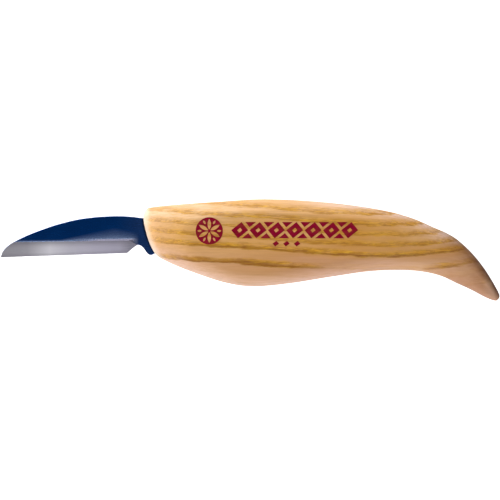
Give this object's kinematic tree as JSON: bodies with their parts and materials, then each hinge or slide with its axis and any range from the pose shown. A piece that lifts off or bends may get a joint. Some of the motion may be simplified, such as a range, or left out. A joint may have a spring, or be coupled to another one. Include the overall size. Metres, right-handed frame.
{
  "type": "chip carving knife",
  "caption": "Chip carving knife: a short fixed blade with a straight ground edge and curved spine, bedded in a shaped wooden palm handle.",
  "frame": {"origin": "centre of the knife's outline seen from its printed side, on the surface that the knife lies on", "axes": "knife lying on its side: +X from the blade's tip to the handle's tail, +Y towards the blade's spine, +Z out of the printed side"},
  "size_m": [0.171, 0.0347, 0.0191],
  "materials": {
    "blade_steel": "spring steel, dark blue-black polished flats with a bright ground bevel",
    "ash": "ash with golden growth rings, satin clear lacquer",
    "epoxy": "cured amber epoxy, smooth",
    "ink": "maroon printing ink under the lacquer"
  },
  "bodies": {
    "root": {"blade": "blade_steel", "handle": "ash", "epoxy_bed": "epoxy", "rosette_print": "ink", "border_print": "ink", "lozenge_print": "ink"}
  },
  "joints": []
}
